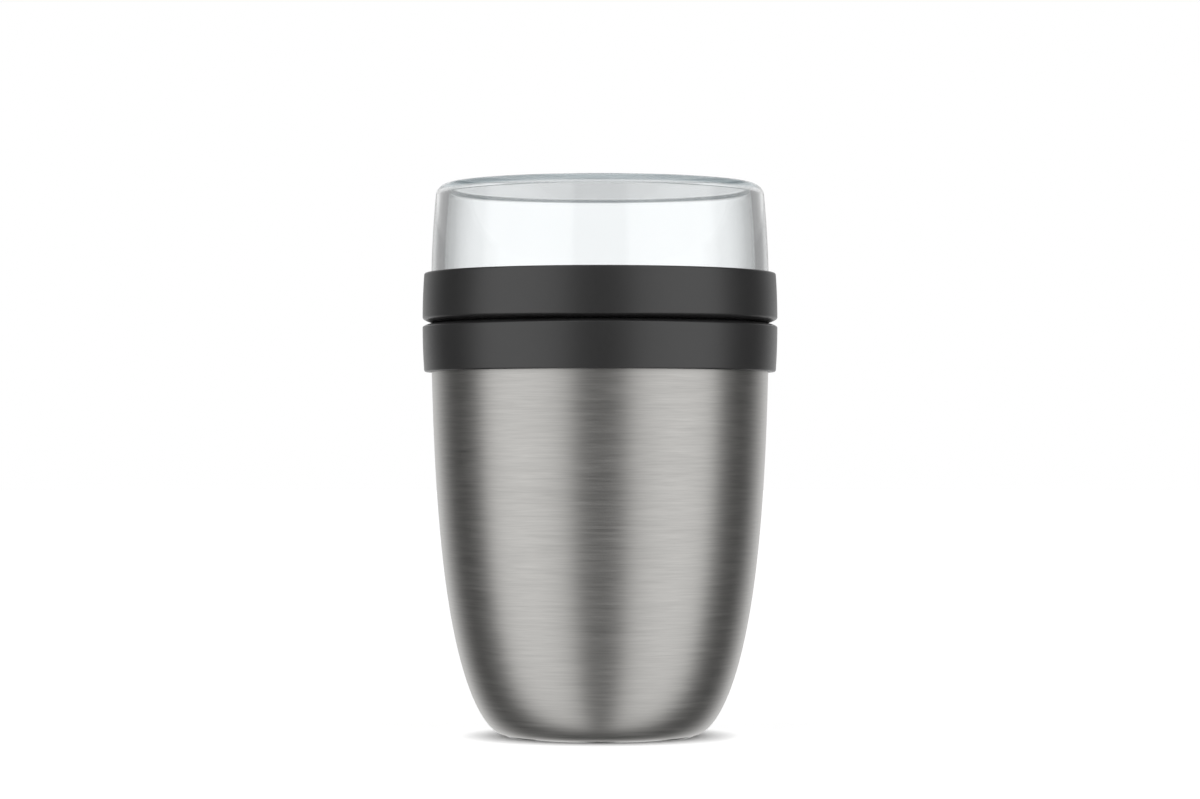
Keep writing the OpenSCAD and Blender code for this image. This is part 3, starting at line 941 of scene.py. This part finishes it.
# Strength of the studio light by degrees round from the camera's side, on the front half
LIGHT_FRONT = ((0, 0.13), (17, 0.14), (21, 0.74), (45, 0.89), (90, 0.93), (180, 0.93))
# Strength by degrees away from the camera's side in any direction, on the rear half
LIGHT_REAR = ((0, 0.20), (89, 0.20), (104, 0.06), (124, 0.08), (138, 0.45), (154, 0.95),
              (180, 1.10))
# The same as the clear cup lets it through
LIGHT_THROUGH = ((0, 0.35), (110, 0.35), (156, 0.37), (165, 0.80), (171, 1.04), (180, 1.08))
# Degrees between which the front half's light gives way to the rear half's
HALVES_MEET = (84, 89)
# How many radians further from the camera's side a light straight below counts
BELOW_COUNTS = 0.17
# A strip of the rear half loses a share of its strength in mirrors; its lower and upper edges
# are heights on a unit sphere
STRIP_DIM, STRIP_LOW, STRIP_HIGH = 0.5, (0.044, 0.052), (0.088, 0.098)
# The floor's own light: its strength, and the radii over which it fades in from none, which paints
# a shadow ring round the foot on top of the real shadow
FLOOR_GLOW, PAINTED_SHADOW_ENDS = 0.72, (28 * MM, 42 * MM)
# The share of it that shows through the clear cup, near and far, and the distances between
GLASS_NEAR, GLASS_FAR, GLASS_REACH = 0.80, 0.46, (1.0, 1.8)
WHITE = (1.0, 1.0, 1.0, 1.0)


class FOODPOT_OT_stage(bpy.types.Operator):
    """Make the floor, the studio light and the camera"""
    bl_idname = "food_container.stage"
    bl_label = "Stage"

    def execute(self, context):
        stage = context.scene.food_container.stage
        self.floor(context.scene, stage)
        self.light(context.scene)
        camera = bpy.data.objects.new("camera", bpy.data.cameras.new("camera"))
        context.scene.collection.objects.link(camera)
        camera.location = (0.0, -stage.distance, stage.eye)
        camera.rotation_euler = (math.pi / 2, 0.0, 0.0)
        camera.data.sensor_width = 36.0
        camera.data.lens = stage.lens
        camera.data.shift_y = stage.rise
        camera.data.clip_start, camera.data.clip_end = 0.05, 50.0
        context.scene.camera = camera
        context.scene.view_settings.view_transform = "Standard"
        return {"FINISHED"}

    def floor(self, scene, stage):
        """A pale round floor, not seen by mirrors or from below, so that they show the light."""
        count, radius = 96, stage.floor_radius
        mesh = bpy.data.meshes.new("floor")
        rim = [(radius * math.cos(TURN * i / count), radius * math.sin(TURN * i / count), 0.0)
               for i in range(count)]
        mesh.from_pydata(rim, [], [tuple(range(count))])
        floor = bpy.data.objects.new("floor", mesh)
        scene.collection.objects.link(floor)
        material, wire, shader = new_look("pale_floor")
        place = object_place(wire)
        wire.feed_all(shader, {
            "Base Color": mottled(wire, noise(wire, place, scale=30.0), stage.floor,
                                  dark=0.99, light=1.0),
            "Roughness": 0.9, "Specular IOR Level": 0.0})
        path = wire.add("ShaderNodeLightPath").outputs
        from_foot = wire.add("ShaderNodeVectorMath", {0: place},
                             operation="LENGTH").outputs["Value"]
        # Painted shadow: the glow is cut to nothing near the foot, so the floor there shows its
        # real shadow darkened further by this painted fade
        glow_with_painted_shadow = ranged(wire, from_foot, 0.0, FLOOR_GLOW, *PAINTED_SHADOW_ENDS)
        behind_cup = wire.math("MULTIPLY", path["Is Transmission Ray"],
                               ranged(wire, from_foot, GLASS_NEAR, GLASS_FAR, *GLASS_REACH))
        seen = wire.math("MAXIMUM", path["Is Camera Ray"], behind_cup)
        glow = wire.add("ShaderNodeEmission", {
            "Color": WHITE, "Strength": wire.math("MULTIPLY", seen, glow_with_painted_shadow)})
        lit = wire.add("ShaderNodeAddShader", {0: shader.outputs[0], 1: glow.outputs[0]})
        clear = wire.add("ShaderNodeBsdfTransparent")
        mirrored = wire.math("SUBTRACT", path["Is Glossy Ray"], path["Is Transmission Ray"])
        unseen = wire.math("MAXIMUM", mirrored,
                           wire.add("ShaderNodeNewGeometry").outputs["Backfacing"])
        through = wire.add("ShaderNodeMixShader", {0: unseen, 1: lit.outputs[0],
                                                   2: clear.outputs[0]})
        output = material.node_tree.nodes["Material Output"]
        wire.feed(output.inputs["Surface"], through.outputs[0])
        mesh.materials.append(material)

    def light(self, scene):
        """Studio light all round: two tall soft panels, gaps beside them, and a white back."""
        world = bpy.data.worlds.new("studio")
        world.use_nodes = True
        scene.world = world
        wire = Wiring(world.node_tree)
        x, y, z = wire.split(wire.add("ShaderNodeTexCoord").outputs["Generated"])
        ahead = wire.math("MULTIPLY", y, -1.0)
        round_way = wire.math("ARCTAN2", wire.math("ABSOLUTE", x), ahead)
        from_camera = wire.math("ARCCOSINE", ahead)
        down = wire.math("MAXIMUM", wire.math("MULTIPLY", z, -1.0), 0.0)
        tipped = wire.math("ADD", from_camera, wire.math(
            "MULTIPLY", wire.math("POWER", down, 2.0), BELOW_COUNTS))
        path = wire.add("ShaderNodeLightPath").outputs
        strip = wire.math("MULTIPLY", ranged(wire, z, 0.0, STRIP_DIM, *STRIP_LOW),
                          ranged(wire, z, 1.0, 0.0, *STRIP_HIGH))
        mirrored = wire.math("MULTIPLY", self.strengths(wire, tipped, LIGHT_REAR),
                             wire.math("SUBTRACT", 1.0, strip))
        rear = self.between(wire, path["Is Transmission Ray"], mirrored,
                            self.strengths(wire, from_camera, LIGHT_THROUGH))
        half = ranged(wire, tipped, 0.0, 1.0, *(math.radians(angle) for angle in HALVES_MEET))
        front = self.strengths(wire, round_way, LIGHT_FRONT)
        strength = self.between(wire, half, front, rear)
        strength = self.between(wire, path["Is Camera Ray"], strength, 1.0)
        wire.feed_all(world.node_tree.nodes["Background"],
                      {"Color": WHITE, "Strength": strength})

    def between(self, wire, factor, first, second):
        """A mix of two numbers."""
        mix = wire.add("ShaderNodeMix", data_type="FLOAT")
        for place, value in ((0, factor), (2, first), (3, second)):
            wire.feed(mix.inputs[place], value)
        return mix.outputs[0]

    def strengths(self, wire, angle, table):
        """The table's strength at this angle."""
        peak = max(strength for _, strength in table)
        ramp = wire.add("ShaderNodeValToRGB", {"Fac": wire.math("DIVIDE", angle, math.pi)})
        stops = ramp.color_ramp.elements
        while len(stops) < len(table):
            stops.new(0.5)
        for stop, (degrees, strength) in zip(stops, table):
            stop.position = degrees / 180
            stop.color = (strength / peak,) * 3 + (1.0,)
        return wire.math("MULTIPLY", ramp.outputs["Color"], peak)


class FOODPOT_PT_container(bpy.types.Panel):
    """Lists the container's pieces and sizes"""
    bl_idname = "FOODPOT_PT_container"
    bl_label = "Food container"
    bl_space_type = "VIEW_3D"
    bl_region_type = "UI"
    bl_category = "Food container"

    def draw(self, context):
        for operator in OPERATORS:
            self.layout.operator(operator.bl_idname)
        kit = context.scene.food_container
        self.layout.prop(kit, "segments")
        for name in ("pot", "lid", "cup", "thread", "finish", "stage"):
            group = getattr(kit, name)
            box = self.layout.box()
            box.label(text=name.capitalize())
            for key in group.bl_rna.properties.keys():
                if key not in ("rna_type", "name"):
                    box.prop(group, key)


GROUPS = (PotSizes, LidSizes, CupSizes, ThreadSizes, Finishes, StageSizes, ContainerSettings)
OPERATORS = (FOODPOT_OT_steel_body, FOODPOT_OT_pot_lid, FOODPOT_OT_cup_lid, FOODPOT_OT_cup,
             FOODPOT_OT_seals, FOODPOT_OT_threads, FOODPOT_OT_hidden_pieces, FOODPOT_OT_stage)
CLASSES = GROUPS + OPERATORS + (FOODPOT_PT_container,)


def register():
    for kind in CLASSES:
        bpy.utils.register_class(kind)
    bpy.types.Scene.food_container = PointerProperty(type=ContainerSettings)


def unregister():
    del bpy.types.Scene.food_container
    for kind in reversed(CLASSES):
        bpy.utils.unregister_class(kind)


def main():
    """Makes every piece in order."""
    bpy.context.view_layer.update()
    register()
    for operator in OPERATORS:
        group, name = operator.bl_idname.split(".")
        getattr(getattr(bpy.ops, group), name)()


if __name__ == "__main__":
    main()
